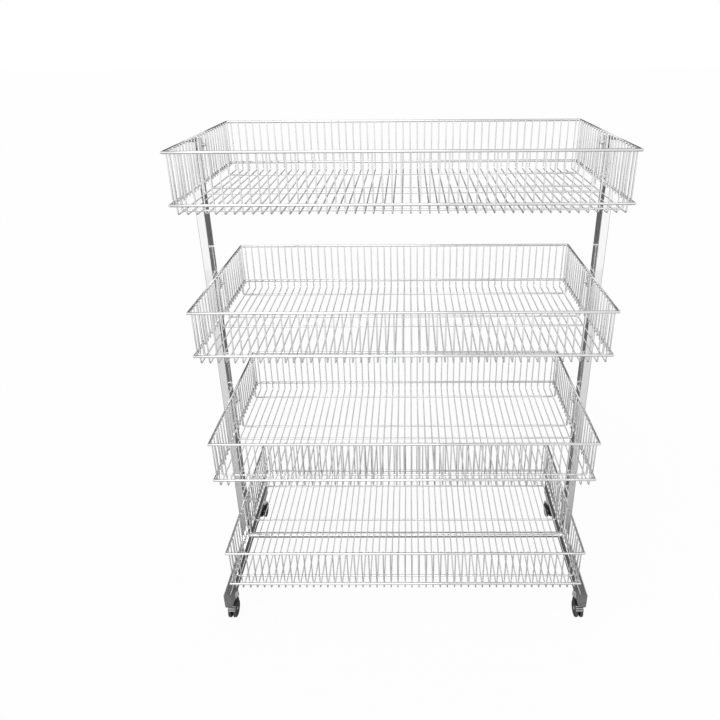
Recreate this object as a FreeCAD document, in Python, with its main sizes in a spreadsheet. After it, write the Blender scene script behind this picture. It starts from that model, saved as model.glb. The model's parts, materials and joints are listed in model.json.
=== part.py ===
import FreeCAD, Part
import os
import re
import Sketcher
from FreeCAD import Placement, Rotation, Vector

# Tiered display stand: four welded wire baskets hung between two uprights, on two foot rails
# with twin-wheel castors. Millimetres, +X to the right, +Y to the back, +Z up. The origin is on
# the floor, in the middle of the stand.

doc = FreeCAD.newDocument("TieredDisplayStand")
sheet = doc.addObject("Spreadsheet::Sheet", "Sizes")

# Driving dimensions. Each row is: name, value, what it measures.
driving_sizes = [
    ("overall_width", 980, "over the outer faces of the two uprights"),
    ("overall_depth", 450, "outside of a basket's front rod to outside of its back rod"),
    ("overall_height", 1300, "floor to the top of the highest rim"),
    ("tier_pitch", 345, "one basket rim to the next"),
    ("foot_depth", 440, "length of a foot rail with its two end caps"),
    ("castor_height", 65, "floor to the underside of a foot rail"),
    ("tube_width", 20, "rails and uprights, side to side"),
    ("upright_depth", 40, "uprights, front to back"),
    ("rail_height", 46, "foot rails, top to bottom"),
    ("tube_wall", 1.5, "wall of rails and uprights"),
    ("tube_corner", 2.5, "outer corner radius of rails and uprights"),
    ("upright_shortfall", 13, "upright cap top below the rim top"),
    ("cap_flange", 3, "plastic upright caps, part that shows"),
    ("rail_cap_flange", 2, "plastic rail caps, part that shows"),
    ("rail_plug_depth", 14, "plastic rail caps, part inside the tube"),
    ("cap_clearance", 0.2, "between a plug and the tube that holds it"),
    ("insert_height", 40, "threaded block inside the foot of an upright"),
    ("foot_bolt_spacing", 20, "two bolts under each upright, front to back"),
    ("foot_bolt_grip", 28, "foot bolt thread inside the block"),
    ("access_hole", 14, "hole under the rail for a foot bolt head"),
    ("bolt_diameter", 6, "every bolt in the stand"),
    ("bolt_clearance", 0.05, "radial clearance round a bolt"),
    ("head_diameter", 12, "bolt heads"),
    ("head_height", 3, "bolt heads"),
    ("nut_width", 10, "nuts across the flats"),
    ("nut_height", 5, "nuts, along the bolt"),
    ("cross_tube_diameter", 16, "round tube between the foot rails"),
    ("cross_tube_wall", 1.5, "wall of the cross tube"),
    ("cross_tube_drop", 10, "cross tube axis below the rail top"),
    ("cross_plug_depth", 22, "threaded plug in each end of the cross tube"),
    ("basket_gap", 3, "between an upright and the basket beside it"),
    ("rod_diameter", 6, "thick rods of the basket rim and bottom frame"),
    ("wire_diameter", 3, "thin basket wires"),
    ("weld_bite", 0.4, "how far welded wires press into each other"),
    ("bottom_drop", 106, "rim rod to bottom rod, centre to centre"),
    ("floor_drop", 126, "rim rod to floor wires, centre to centre"),
    ("wire_rise", 1.5, "wire ends above the centre of the rim rod"),
    ("wire_tail", 6, "side wire ends below the centre of the bottom rod"),
    ("bow_count", 49, "wires across the width"),
    ("bow_margin", 12, "outermost bow wire inside the side rods"),
    ("bow_bend", 8, "bend radius of the bow wires, at the wire centre"),
    ("side_count", 24, "wires in a side wall"),
    ("side_margin", 9.7, "outermost side wire inside the front rod"),
    ("cross_bend", 5, "bend radius of a cross wire, at the wire centre"),
    ("pivot_drop", 22, "basket pivot below the rim rod"),
    ("lug_width", 32, "pivot lug, front to back"),
    ("lug_height", 30, "pivot lug, top to bottom"),
    ("lug_thickness", 2.5, "pivot lug sheet"),
    ("spacer_diameter", 14, "plastic spacer between upright and lug"),
    ("face_clearance", 0.3, "between faces that turn past each other"),
    ("bolt_end", 4.5, "pivot bolt thread beyond its nut"),
    ("castor_inset", 44, "castor stem from the end of the rail"),
    ("castor_trail", 11, "castor stem to wheel axle, level"),
    ("wheel_diameter", 45, "castor wheels"),
    ("wheel_width", 8, "one castor wheel"),
    ("wheel_round", 2.5, "rounded tread edge"),
    ("wheel_dish", 1.5, "dished outer face of a wheel"),
    ("wheel_rim", 5, "flat ring left round the dish"),
    ("wheel_side_gap", 0.4, "wheel to housing, along the axle"),
    ("axle_diameter", 6, "castor axle"),
    ("axle_cap_diameter", 10, "push-on cap at each end of an axle"),
    ("axle_cap_height", 1.2, "push-on cap, along the axle"),
    ("stem_diameter", 8, "castor stem"),
    ("stem_depth", 13, "castor stem inside the housing"),
    ("stem_end", 2, "stem thread beyond its nut"),
    ("stem_nut_width", 13, "stem nut across the flats"),
    ("stem_nut_height", 6, "stem nut"),
    ("collar_diameter", 30, "steel collar on the stem"),
    ("collar_height", 5, "steel collar on the stem"),
    ("housing_web", 5, "castor housing between the two wheels"),
    ("hood_gap", 0.8, "wheel tread to the inside of the hood"),
    ("hood_wall", 1.7, "castor hood shell"),
    ("hood_lip", 12, "hood edge above the axle"),
    ("boss_diameter", 24, "housing boss round the stem"),
    ("hub_diameter", 18, "housing web round the axle"),
    ("running_clearance", 0.05, "radial clearance of stem and axle"),
]

for row, (alias, number, meaning) in enumerate(driving_sizes, start=1):
    sheet.set("A%d" % row, meaning)
    sheet.set("B%d" % row, str(number))
    sheet.setAlias("B%d" % row, alias)
doc.recompute()

# Places and sizes that follow from the driving ones, as expressions in the same words.
derived_sizes = {
    "upright_x": "overall_width / 2 - tube_width / 2",
    "rail_length": "foot_depth - 2 * rail_cap_flange",
    "rail_top": "castor_height + rail_height",
    "upright_top": "overall_height - upright_shortfall - cap_flange",
    "upright_length": "upright_top - rail_top",
    "inner_face_x": "overall_width / 2 - tube_width",
    "top_rim": "overall_height - rod_diameter / 2",
    "top_bolt_top": "top_rim - pivot_drop + bolt_diameter / 2",
    "upright_plug_depth": "upright_top - top_bolt_top - face_clearance",
    "cross_tube_z": "rail_top - cross_tube_drop",
    "basket_half_width": "inner_face_x - basket_gap",
    "side_rod_x": "basket_half_width - rod_diameter / 2",
    "end_rod_y": "overall_depth / 2 - rod_diameter / 2",
    "weld_step": "rod_diameter / 2 + wire_diameter / 2 - weld_bite",
    "cross_step": "wire_diameter - weld_bite",
    "bow_y": "end_rod_y - weld_step",
    "bow_half_span": "side_rod_x - bow_margin",
    "side_wire_x": "side_rod_x - weld_step",
    "side_half_span": "end_rod_y - side_margin",
    "side_pitch": "2 * side_half_span / (side_count - 1)",
    "cross_drop": "floor_drop + cross_step",
    "floor_half_length": "bow_y - bow_bend",
    "cross_half_length": "side_wire_x - cross_bend",
    "lug_inner_x": "side_wire_x + wire_diameter / 2 - weld_bite",
    "lug_outer_x": "lug_inner_x + lug_thickness",
    "nut_face_x": "lug_inner_x - face_clearance",
    "pivot_bolt_end_x": "nut_face_x - nut_height - bolt_end",
    "stem_y": "foot_depth / 2 - castor_inset",
    "axle_y": "stem_y + castor_trail",
    "axle_z": "wheel_diameter / 2",
    "housing_top": "castor_height - collar_height - face_clearance",
    "stem_bottom": "housing_top - stem_depth",
    "stem_top": "castor_height + tube_wall + stem_nut_height + stem_end",
    "hood_inner": "wheel_diameter / 2 + hood_gap",
    "hood_outer": "hood_inner + hood_wall",
    "wheel_inner_x": "housing_web / 2 + wheel_side_gap",
    "wheel_outer_x": "wheel_inner_x + wheel_width",
    "housing_width": "2 * wheel_outer_x",
    "dish_x": "wheel_outer_x - wheel_dish",
    "bore_radius": "bolt_diameter / 2 + bolt_clearance",
}

driving_names = {alias for alias, number, meaning in driving_sizes}


def expression(words):
    """Spell a size out in the names of the sheet's own cells."""
    def spell(match):
        word = match.group(0)
        if word in driving_names:
            return "Sizes." + word
        if word in derived_sizes:
            return "(" + expression(derived_sizes[word]) + ")"
        return word
    return re.sub(r"[a-z][a-z_]*", spell, words)


def value(words):
    """The number that an expression gives now."""
    return float(sheet.evalExpression(expression(words)))


def bind(item, **sizes):
    """Tie properties of an object to expressions."""
    for name, words in sizes.items():
        item.setExpression(name, expression(words))


def bind_place(item, x, y, z):
    """Tie an object's position to expressions."""
    item.setExpression("Placement.Base.x", expression(x))
    item.setExpression("Placement.Base.y", expression(y))
    item.setExpression("Placement.Base.z", expression(z))


# Turns that lay a cylinder's axis along X, Y or Z.
quarter = 90
axis_turns = {
    "x": Rotation(Vector(0, 1, 0), quarter),
    "y": Rotation(Vector(1, 0, 0), -quarter),
    "z": Rotation(),
}


def place_box(item, length, width, height, x, y, z):
    """Give a box its three sizes, centred on x, y, z."""
    bind(item, Length=length, Width=width, Height=height)
    bind_place(item, f"{x} - ({length}) / 2", f"{y} - ({width}) / 2", f"{z} - ({height}) / 2")


def place_cylinder(item, axis, radius, length, x, y, z):
    """Give a cylinder its sizes, centred on x, y, z, with its axis along one row axis."""
    item.Placement = Placement(Vector(), axis_turns[axis])
    bind(item, Radius=radius, Height=length)
    centre = {"x": x, "y": y, "z": z}
    centre[axis] = f"{centre[axis]} - ({length}) / 2"
    bind_place(item, centre["x"], centre["y"], centre["z"])


def new_body(label):
    body = doc.addObject("PartDesign::Body", label)
    body.Label = label
    return body


def body_box(body, name, kind, *sizes):
    """Add or take away a box in a body. kind is Additive or Subtractive."""
    item = body.newObject(f"PartDesign::{kind}Box", name)
    place_box(item, *sizes)
    return item


def body_cylinder(body, name, kind, *sizes):
    item = body.newObject(f"PartDesign::{kind}Cylinder", name)
    place_cylinder(item, *sizes)
    return item


def round_edges(body, base, direction, radius):
    """Round the edges of a feature that run along one direction."""
    doc.recompute()
    names = []
    for number, edge in enumerate(base.Shape.Edges, start=1):
        along = edge.tangentAt(edge.FirstParameter)
        if abs(along.dot(direction)) > cosine_of_parallel:
            names.append("Edge%d" % number)
    fillet = body.newObject("PartDesign::Fillet", "RoundedEdges")
    fillet.Base = (base, names)
    bind(fillet, Radius=radius)
    return fillet


cosine_of_parallel = 0.999
full_turn = 360

# How a sketch names its own origin and the points of a line or circle.
root_item = -1
line_start = 1
line_end = 2
circle_centre = 3

along_x = Vector(1, 0, 0)
along_y = Vector(0, 1, 0)
along_z = Vector(0, 0, 1)
sides = {"left": -1, "right": 1}
ends = {"front": -1, "rear": 1}
parts = []


def keep(item):
    """List a sub-part that is written out at the end."""
    parts.append(item)
    return item


def part_cylinder(name, *sizes):
    item = doc.addObject("Part::Cylinder", name)
    place_cylinder(item, *sizes)
    return item


def part_box(name, *sizes):
    item = doc.addObject("Part::Box", name)
    place_box(item, *sizes)
    return item


def part_cut(name, base, tool):
    item = doc.addObject("Part::Cut", name)
    item.Base = base
    item.Tool = tool
    return item


def part_fuse(name, shapes):
    item = doc.addObject("Part::MultiFuse", name)
    item.Shapes = shapes
    return item


def part_group(label, shapes):
    """Identical fasteners as separate solids in one sub-part."""
    item = doc.addObject("Part::Compound", label)
    item.Label = label
    item.Links = shapes
    return keep(item)


def hexagon_nut(name, axis, width, height, bore, x, y, z):
    """A six-sided nut with a plain bore, its flats square to the next row axis."""
    prism = doc.addObject("Part::Prism", name + "Prism")
    prism.Polygon = 6
    prism.Placement = Placement(Vector(), axis_turns[axis])
    bind(prism, Circumradius=f"{width} / sqrt(3)", Height=height)
    centre = {"x": x, "y": y, "z": z}
    centre[axis] = f"{centre[axis]} - ({height}) / 2"
    bind_place(prism, centre["x"], centre["y"], centre["z"])
    hole = part_cylinder(name + "Bore", axis, bore, f"2 * ({height})", x, y, z)
    return part_cut(name, prism, hole)


# Foot rails: rectangular tubes that run front to back, open at both ends for the caps.
def foot_rail(side_name, side):
    body = new_body(side_name + "_foot_rail")
    x = f"{side} * upright_x"
    z = "castor_height + rail_height / 2"
    tube = body_box(body, "Tube", "Additive", "tube_width", "rail_length", "rail_height", x, "0", z)
    round_edges(body, tube, along_y, "tube_corner")
    body_box(
        body, "Bore", "Subtractive",
        "tube_width - 2 * tube_wall", "2 * rail_length", "rail_height - 2 * tube_wall",
        x, "0", z,
    )
    for number, end in enumerate(ends.values()):
        y = f"{end} * foot_bolt_spacing / 2"
        body_cylinder(
            body, f"BoltHole{number}", "Subtractive",
            "z", "bore_radius", "4 * tube_wall", x, y, "rail_top",
        )
        body_cylinder(
            body, f"AccessHole{number}", "Subtractive",
            "z", "access_hole / 2", "4 * tube_wall", x, y, "castor_height",
        )
        body_cylinder(
            body, f"StemHole{number}", "Subtractive",
            "z", "stem_diameter / 2 + bolt_clearance", "4 * tube_wall",
            x, f"{end} * stem_y", "castor_height",
        )
    body_cylinder(
        body, "CrossBoltHole", "Subtractive",
        "x", "bore_radius", "2 * tube_width", x, "0", "cross_tube_z",
    )
    return keep(body)


# Rail caps: plastic plugs with a thin flange that closes the end of a rail.
def rail_cap(end_name, end, side_name, side):
    body = new_body(f"{end_name}_{side_name}_rail_cap")
    x = f"{side} * upright_x"
    z = "castor_height + rail_height / 2"
    flange = body_box(
        body, "Flange", "Additive", "tube_width", "rail_cap_flange", "rail_height",
        x, f"{end} * (rail_length / 2 + rail_cap_flange / 2)", z,
    )
    round_edges(body, flange, along_y, "tube_corner")
    plug_inset = "2 * (tube_wall + cap_clearance)"
    body_box(
        body, "Plug", "Additive",
        f"tube_width - {plug_inset}", "rail_plug_depth", f"rail_height - {plug_inset}",
        x, f"{end} * (rail_length / 2 - rail_plug_depth / 2)", z,
    )
    return keep(body)


# Uprights: rectangular tubes that stand on the rails, with one cross hole for each basket.
def upright(side_name, side):
    body = new_body(side_name + "_upright")
    x = f"{side} * upright_x"
    z = "rail_top + upright_length / 2"
    tube = body_box(
        body, "Tube", "Additive", "tube_width", "upright_depth", "upright_length", x, "0", z
    )
    round_edges(body, tube, along_z, "tube_corner")
    body_box(
        body, "Bore", "Subtractive",
        "tube_width - 2 * tube_wall", "upright_depth - 2 * tube_wall", "2 * upright_length",
        x, "0", z,
    )
    for tier in range(tier_count):
        body_cylinder(
            body, f"PivotHole{tier}", "Subtractive",
            "x", "bore_radius", "2 * tube_width", x, "0", pivot_height(tier),
        )
    return keep(body)


def rim_height(tier):
    return f"(top_rim - {tier} * tier_pitch)"


def pivot_height(tier):
    return f"({rim_height(tier)} - pivot_drop)"


# Upright caps: their plugs end just above the topmost pivot bolt.
def upright_cap(side_name, side):
    body = new_body(side_name + "_upright_cap")
    x = f"{side} * upright_x"
    flange = body_box(
        body, "Flange", "Additive", "tube_width", "upright_depth", "cap_flange",
        x, "0", "upright_top + cap_flange / 2",
    )
    round_edges(body, flange, along_z, "tube_corner")
    plug_inset = "2 * (tube_wall + cap_clearance)"
    body_box(
        body, "Plug", "Additive",
        f"tube_width - {plug_inset}", f"upright_depth - {plug_inset}", "upright_plug_depth",
        x, "0", "upright_top - upright_plug_depth / 2",
    )
    return keep(body)


# A steel block with two threaded holes fills the foot of each upright.
def upright_insert(side_name, side):
    body = new_body(side_name + "_upright_insert")
    x = f"{side} * upright_x"
    block_inset = "2 * (tube_wall + cap_clearance)"
    body_box(
        body, "Block", "Additive",
        f"tube_width - {block_inset}", f"upright_depth - {block_inset}", "insert_height",
        x, "0", "rail_top + insert_height / 2",
    )
    for number, end in enumerate(ends.values()):
        body_cylinder(
            body, f"Thread{number}", "Subtractive",
            "z", "bore_radius", "2 * insert_height",
            x, f"{end} * foot_bolt_spacing / 2", "rail_top",
        )
    return keep(body)


# Foot bolts come up from inside the rail into the block.
def foot_bolt(side_name, side, end_name, end):
    name = f"FootBolt_{side_name}_{end_name}"
    x = f"{side} * upright_x"
    y = f"{end} * foot_bolt_spacing / 2"
    under_wall = "rail_top - tube_wall"
    head = part_cylinder(
        name + "Head", "z", "head_diameter / 2", "head_height", x, y,
        f"{under_wall} - head_height / 2",
    )
    shank_length = "foot_bolt_grip + tube_wall + head_height / 2"
    shank = part_cylinder(
        name + "Shank", "z", "bolt_diameter / 2", shank_length, x, y,
        "rail_top + foot_bolt_grip - (foot_bolt_grip + tube_wall + head_height / 2) / 2",
    )
    return part_fuse(name, [head, shank])


# The round cross tube ties the rails together. Each end holds a threaded plug, and a bolt
# through the rail pulls the plug up.
def base_cross_tube():
    length = "2 * inner_face_x"
    outer = part_cylinder(
        "CrossTubeOuter", "x", "cross_tube_diameter / 2", length, "0", "0", "cross_tube_z"
    )
    inner = part_cylinder(
        "CrossTubeInner", "x", "cross_tube_diameter / 2 - cross_tube_wall", f"2 * {length}",
        "0", "0", "cross_tube_z",
    )
    tube = part_cut("base_cross_tube", outer, inner)
    tube.Label = "base_cross_tube"
    return keep(tube)


def cross_tube_plug(side_name, side):
    name = f"CrossPlug_{side_name}"
    x = f"{side} * (inner_face_x - cross_plug_depth / 2)"
    radius = "cross_tube_diameter / 2 - cross_tube_wall - cap_clearance"
    plug = part_cylinder(name + "Outer", "x", radius, "cross_plug_depth", x, "0", "cross_tube_z")
    thread = part_cylinder(
        name + "Thread", "x", "bore_radius", "2 * cross_plug_depth", x, "0", "cross_tube_z"
    )
    return part_cut(name, plug, thread)


def side_bolt(name, side, end_x, height):
    """A bolt from the outer face of a tube inwards to end_x, at one height."""
    face_x = "overall_width / 2"
    head = part_cylinder(
        name + "Head", "x", "head_diameter / 2", "head_height",
        f"{side} * ({face_x} + head_height / 2)", "0", height,
    )
    length = f"({face_x} + head_height / 2 - {end_x})"
    shank = part_cylinder(
        name + "Shank", "x", "bolt_diameter / 2", length,
        f"{side} * ({face_x} + head_height / 2 - {length} / 2)", "0", height,
    )
    return part_fuse(name, [head, shank])


# Basket pivots: a bolt through the upright, a plastic spacer, the basket's lug and a nut.
def pivot_spacer(name, side, height):
    length = "(inner_face_x - lug_outer_x - face_clearance)"
    x = f"{side} * (inner_face_x - {length} / 2)"
    ring = part_cylinder(name + "Ring", "x", "spacer_diameter / 2", length, x, "0", height)
    bore = part_cylinder(name + "Hole", "x", "bore_radius", f"2 * {length}", x, "0", height)
    return part_cut(name, ring, bore)


def pivot_nut(name, side, height):
    x = f"{side} * (nut_face_x - nut_height / 2)"
    return hexagon_nut(name, "x", "nut_width", "nut_height", "bore_radius", x, "0", height)


# The turn that lays a quarter ring in a left wall, from straight down to straight in.
left_bend_turn = Rotation(Vector(-1, 0, 0), Vector(0, 0, -1), Vector(0, -1, 0), "ZXY")


def body_bend(body, name, turn, bend_radius, x, y, z):
    """A quarter of a wire ring, its centre of curvature at x, y, z."""
    item = body.newObject("PartDesign::AdditiveTorus", name)
    item.Placement = Placement(Vector(), turn)
    item.Angle3 = quarter
    bind(item, Radius1=bend_radius, Radius2="wire_diameter / 2")
    bind_place(item, x, y, z)
    return item


def body_row(body, name, features, plane_role, span, count):
    """Repeat features in a row, square to one origin plane of the body."""
    row = body.newObject("PartDesign::LinearPattern", name)
    row.Originals = features
    row.Direction = (origin_plane(body, plane_role), [""])
    bind(row, Length=span, Occurrences=count)
    body.Tip = row
    return row


def origin_plane(body, role):
    return next(item for item in body.Origin.OriginFeatures if item.Role == role)


def wall_rod(body, name, axis, length, x, y, z):
    return body_cylinder(body, name, "Additive", axis, "rod_diameter / 2", length, x, y, z)


# The baskets are alike, so each of their panels is drawn once, with the rim at height 0, and
# then placed at every tier. A front wall turned half round is a back wall.
def end_wall_pattern():
    """Rim rod, bottom rod, and bow wires that bend in under the bottom rod."""
    body = new_body("end_wall_pattern")
    bend_top = "bow_bend - floor_drop"
    section = wire_section(body, "-bow_half_span", "-bow_y", "bow_bend - bow_y", bend_top)
    straight = body.newObject("PartDesign::Pad", "Straight")
    straight.Profile = section
    bind(straight, Length=f"wire_rise - ({bend_top})")
    bend = body.newObject("PartDesign::Revolution", "Bend")
    bend.Profile = section
    bend.ReferenceAxis = (section, ["Axis0"])
    bend.Angle = quarter
    body_row(body, "Bows", [straight, bend], "YZ_Plane", "2 * bow_half_span", "bow_count")
    for name, height in (("RimRod", "0"), ("BottomRod", "-bottom_drop")):
        wall_rod(body, name, "x", "2 * basket_half_width", "0", "-end_rod_y", height)
    return body


def wire_section(body, x, y, bend_y, height):
    """A wire's round section in a level sketch, with the axis of its bend beside it."""
    section = body.newObject("Sketcher::SketchObject", "WireSection")
    section.AttachmentSupport = (origin_plane(body, "XY_Plane"), [""])
    section.MapMode = "FlatFace"
    section.setExpression("AttachmentOffset.Base.z", expression(height))
    centre = Vector(value(x), value(y), 0)
    section.addGeometry(Part.Circle(centre, along_z, value("wire_diameter / 2")))
    axis_start = Vector(value(x), value(bend_y), 0)
    axis_end = axis_start + along_x * value("wire_diameter")
    section.addGeometry(Part.LineSegment(axis_start, axis_end), True)
    circle, axis = 0, 1
    tie_point(section, "DistanceX", circle, circle_centre, x)
    tie_point(section, "DistanceY", circle, circle_centre, y)
    tie_point(section, "DistanceX", axis, line_start, x)
    tie_point(section, "DistanceY", axis, line_start, bend_y)
    tie_point(section, "DistanceX", axis, line_end, f"{x} + wire_diameter")
    section.addConstraint(Sketcher.Constraint("Horizontal", axis))
    radius = section.addConstraint(
        Sketcher.Constraint("Radius", circle, value("wire_diameter / 2"))
    )
    section.setExpression("Constraints[%d]" % radius, expression("wire_diameter / 2"))
    return section


def tie_point(sketch, kind, item, point, words):
    """Hold one coordinate of a sketched point at an expression, measured from the origin."""
    constraint = sketch.addConstraint(
        Sketcher.Constraint(kind, root_item, line_start, item, point, value(words))
    )
    sketch.setExpression("Constraints[%d]" % constraint, expression(words))


def cross_wire_places():
    """Where the floor's four cross wires lie: in line with these side wires."""
    half_pitches = (-cross_outer_steps, -cross_inner_steps, cross_inner_steps, cross_outer_steps)
    return [f"{steps} * side_pitch / 2" for steps in half_pitches]


def side_wall_pattern():
    """Rim rod, bottom rod, side wires, and the ends of the cross wires, turned in."""
    body = new_body("side_wall_pattern")
    tail = "bottom_drop + wire_tail"
    drop = f"(wire_rise + {tail})"
    straight = body_cylinder(
        body, "Straight", "Additive",
        "z", "wire_diameter / 2", drop, "-side_wire_x", "side_half_span",
        f"wire_rise - {drop} / 2",
    )
    body_row(body, "SideWires", [straight], "XZ_Plane", "2 * side_half_span", "side_count")
    for name, height in (("RimRod", "0"), ("BottomRod", "-bottom_drop")):
        wall_rod(body, name, "y", "2 * end_rod_y", "-side_rod_x", "0", height)
    bend_top = "(cross_bend - cross_drop)"
    reach = f"(-({tail}) - {bend_top})"
    for number, y in enumerate(cross_wire_places()):
        body_cylinder(
            body, f"CrossEnd{number}", "Additive",
            "z", "wire_diameter / 2", reach, "-side_wire_x", y, f"{bend_top} + {reach} / 2",
        )
        body_bend(
            body, f"CrossBend{number}", left_bend_turn,
            "cross_bend", "cross_bend - side_wire_x", y, bend_top,
        )
    for name, end in ends.items():
        for level, height in (("Rim", "0"), ("Bottom", "-bottom_drop")):
            body_cylinder(
                body, f"Cope{level}{name}", "Subtractive", "x", "rod_diameter / 2",
                "4 * rod_diameter", "-side_rod_x", f"{end} * end_rod_y", height,
            )
    lug_x = "-(lug_inner_x + lug_thickness / 2)"
    body_box(
        body, "Lug", "Additive",
        "lug_thickness", "lug_width", "lug_height", lug_x, "0", "-pivot_drop",
    )
    body_cylinder(
        body, "PivotHole", "Subtractive",
        "x", "bore_radius", "4 * lug_thickness", lug_x, "0", "-pivot_drop",
    )
    return body


def floor_pattern():
    """Straight stretches of the bow wires, welded on four cross wires."""
    body = new_body("floor_pattern")
    straight = body_cylinder(
        body, "Straight", "Additive", "y", "wire_diameter / 2", "2 * floor_half_length",
        "-bow_half_span", "0", "-floor_drop",
    )
    body_row(body, "Bows", [straight], "YZ_Plane", "2 * bow_half_span", "bow_count")
    for number, y in enumerate(cross_wire_places()):
        body_cylinder(
            body, f"CrossWire{number}", "Additive", "x", "wire_diameter / 2",
            "2 * cross_half_length", "0", y, "-cross_drop",
        )
    return body


def place_copy(label, pattern, x, y, z, turn):
    """Put a copy of a pattern at x, y, z, turned about its own upright axis."""
    copy = doc.addObject("Part::Compound", label)
    copy.Label = label
    copy.Links = [pattern]
    copy.Placement = Placement(Vector(), Rotation(along_z, turn))
    bind_place(copy, x, y, z)
    return keep(copy)


# Castors: the stem is fixed in the rail, the housing swivels on it and carries the axle, and a
# wheel turns on each end of the axle. At rest the front castors trail to the front and the rear
# ones to the back.
def castor_stem(name, x, y):
    shank = part_cylinder(
        name + "Shank", "z", "stem_diameter / 2", "stem_top - stem_bottom", x, y,
        "(stem_top + stem_bottom) / 2",
    )
    collar = part_cylinder(
        name + "Collar", "z", "collar_diameter / 2", "collar_height", x, y,
        "castor_height - collar_height / 2",
    )
    return part_fuse(name, [shank, collar])


def castor_stem_nut(name, x, y):
    z = "castor_height + tube_wall + stem_nut_height / 2"
    bore = "stem_diameter / 2 + bolt_clearance"
    return hexagon_nut(name, "z", "stem_nut_width", "stem_nut_height", bore, x, y, z)


# The castors are alike, so each of these pieces is drawn once and then placed four times. The
# housing and the axle are drawn with the stem at 0, 0 and the wheels trailing to the front.
def castor_housing_pattern():
    """A short hood over both wheels with a boss for the stem, and a neck that holds the axle."""
    y = "-castor_trail"
    shell = part_cylinder("HoodShell", "x", "hood_outer", "housing_width", "0", y, "axle_z")
    hollow = part_cylinder("HoodHollow", "x", "hood_inner", "2 * housing_width", "0", y, "axle_z")
    web = part_cylinder("Web", "x", "hood_inner + hood_wall / 2", "housing_web", "0", y, "axle_z")
    boss_height = "(housing_top - axle_z)"
    boss = part_cylinder(
        "Boss", "z", "boss_diameter / 2", boss_height, "0", "0", f"axle_z + {boss_height} / 2"
    )
    hood = part_fuse(
        "Hood", [part_cut("HoodRing", shell, hollow), web, part_cut("Crown", boss, hollow)]
    )
    reach = part_box(
        "HoodReach", "2 * housing_width", "4 * hood_outer", "housing_top",
        "0", y, "axle_z + hood_lip + housing_top / 2",
    )
    cover = doc.addObject("Part::Common", "Cover")
    cover.Base = hood
    cover.Tool = reach
    neck = part_box(
        "Neck", "housing_web", "hub_diameter", "hood_inner", "0", y, "axle_z + hood_inner / 2"
    )
    hub = part_cylinder("Hub", "x", "hub_diameter / 2", "housing_web", "0", y, "axle_z")
    solid = part_fuse("HousingSolid", [cover, neck, hub])
    stem_bore = part_cylinder(
        "StemBore", "z", "stem_diameter / 2 + running_clearance",
        "2 * (housing_top - stem_bottom)", "0", "0", "housing_top",
    )
    axle_bore = part_cylinder(
        "AxleBore", "x", "axle_diameter / 2", "2 * housing_width", "0", y, "axle_z"
    )
    return part_cut("castor_housing_pattern", solid, part_fuse("Bores", [stem_bore, axle_bore]))


def castor_axle_pattern():
    """A plain pin with a push-on cap at each end, in the dish of the wheel there."""
    y = "-castor_trail"
    cap_reach = "(dish_x + face_clearance + axle_cap_height)"
    pin = part_cylinder(
        "AxlePin", "x", "axle_diameter / 2", f"2 * {cap_reach}", "0", y, "axle_z"
    )
    caps = [
        part_cylinder(
            f"AxleCap_{side_name}", "x", "axle_cap_diameter / 2", "axle_cap_height",
            f"{side} * ({cap_reach} - axle_cap_height / 2)", y, "axle_z",
        )
        for side_name, side in sides.items()
    ]
    return part_fuse("castor_axle_pattern", [pin] + caps)


def castor_wheel_pattern():
    """The right wheel of a castor, turned from half its section, with the axle's middle at 0."""
    body = new_body("castor_wheel_pattern")
    half = body.newObject("Sketcher::SketchObject", "HalfSection")
    half.AttachmentSupport = (origin_plane(body, "XZ_Plane"), [""])
    half.MapMode = "FlatFace"
    inner_x, outer_x = "wheel_inner_x", "wheel_outer_x"
    bore = "axle_diameter / 2 + running_clearance"
    tread = "wheel_diameter / 2"
    rim = "wheel_diameter / 2 - wheel_rim"
    outline = [
        (inner_x, bore), (inner_x, tread), (outer_x, tread), (outer_x, rim),
        ("dish_x", f"{rim} - wheel_dish"), ("dish_x", bore),
    ]
    draw_outline(half, outline)
    turned = body.newObject("PartDesign::Revolution", "Turned")
    turned.Profile = half
    turned.ReferenceAxis = (half, ["H_Axis"])
    turned.Angle = full_turn
    body.Tip = round_tread(body, turned, tread)
    return body


def round_tread(body, base, tread):
    """Round the two outermost edges of a wheel."""
    doc.recompute()
    half_gap = value("wheel_round") / 2
    names = []
    for number, edge in enumerate(base.Shape.Edges, start=1):
        if edge.Curve.TypeId == "Part::GeomCircle" and edge.Curve.Radius > value(tread) - half_gap:
            names.append("Edge%d" % number)
    fillet = body.newObject("PartDesign::Fillet", "RoundedTread")
    fillet.Base = (base, names)
    bind(fillet, Radius="wheel_round")
    return fillet


def draw_outline(sketch, outline):
    """Join the corners of a closed outline with lines, and tie each corner to the sheet."""
    corners = [Vector(value(across), value(up), 0) for across, up in outline]
    for number, corner in enumerate(corners):
        following = corners[(number + 1) % len(corners)]
        sketch.addGeometry(Part.LineSegment(corner, following))
    for number, (across, up) in enumerate(outline):
        following = (number + 1) % len(corners)
        sketch.addConstraint(
            Sketcher.Constraint("Coincident", number, line_end, following, line_start)
        )
        tie_point(sketch, "DistanceX", number, line_start, across)
        tie_point(sketch, "DistanceY", number, line_start, up)


# The two inner and the two outer cross wires lie in line with the side wires that are this many
# half pitches from the middle.
cross_inner_steps = 3
cross_outer_steps = 19

tiers = ["top", "upper", "lower", "bottom"]
tier_count = len(tiers)

for side_name, side in sides.items():
    foot_rail(side_name, side)
    upright(side_name, side)
    upright_cap(side_name, side)
    upright_insert(side_name, side)
    for end_name, end in ends.items():
        rail_cap(end_name, end, side_name, side)

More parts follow.
